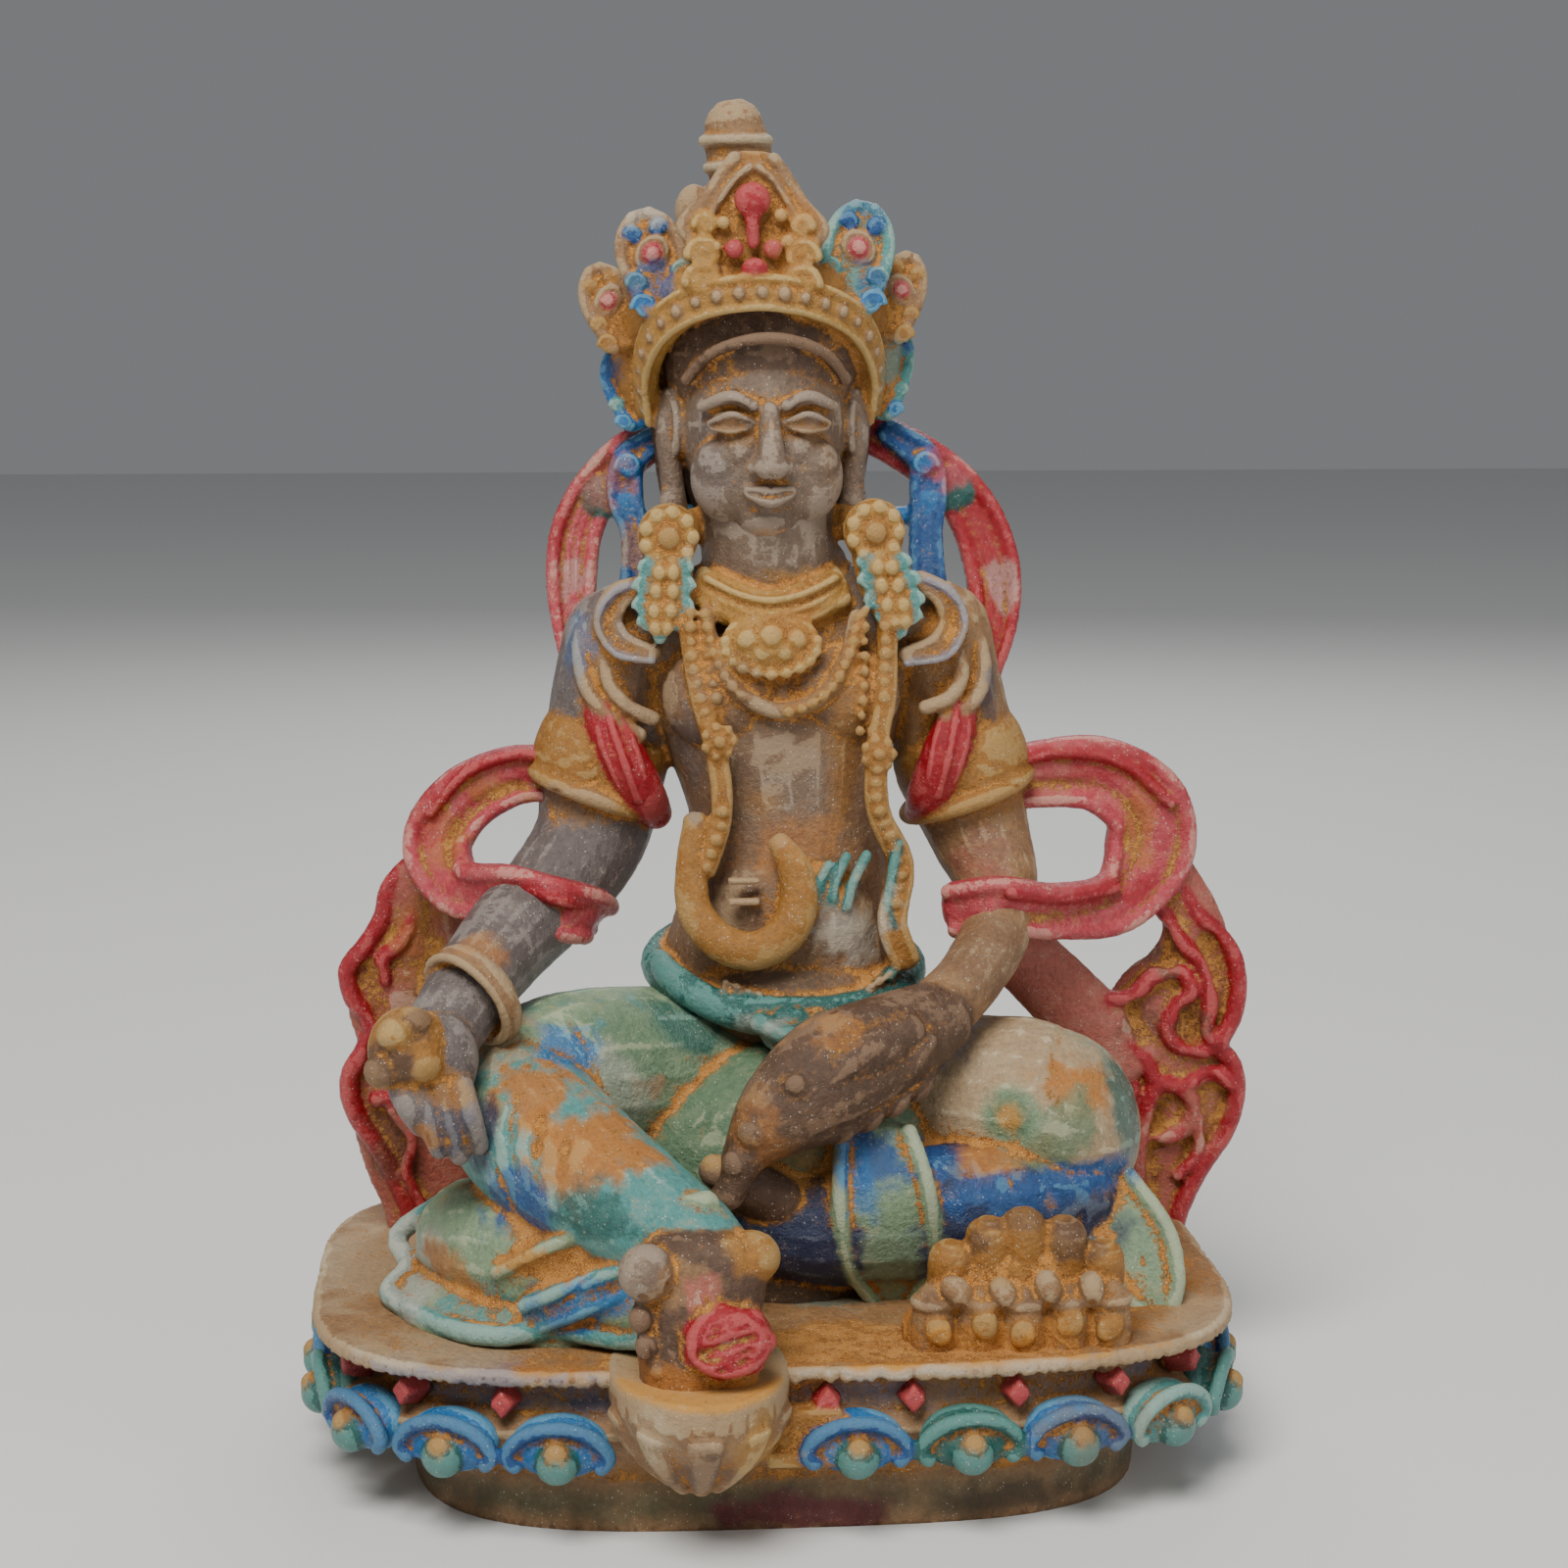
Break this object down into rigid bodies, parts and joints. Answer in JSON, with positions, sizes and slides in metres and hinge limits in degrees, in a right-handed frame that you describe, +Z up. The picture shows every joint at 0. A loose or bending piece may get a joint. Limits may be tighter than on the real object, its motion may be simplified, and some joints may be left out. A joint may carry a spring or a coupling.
{
  "type": "jambhala statue",
  "caption": "Cast and painted statue of a seated wealth deity with crown, scarves and mongoose on an oval lotus plinth, aged and caked with ochre soil.",
  "frame": {"origin": "middle of the plinth's flat underside", "axes": "+X to the viewer's right as the viewer faces the figure, +Y away from the viewer, +Z up"},
  "size_m": [0.1491, 0.1189, 0.2015],
  "materials": {
    "aged_paint": "glossy paint and bare taupe body, much worn, with ochre soil in the hollows"
  },
  "bodies": {
    "root": {"statue": "aged_paint"}
  },
  "joints": []
}
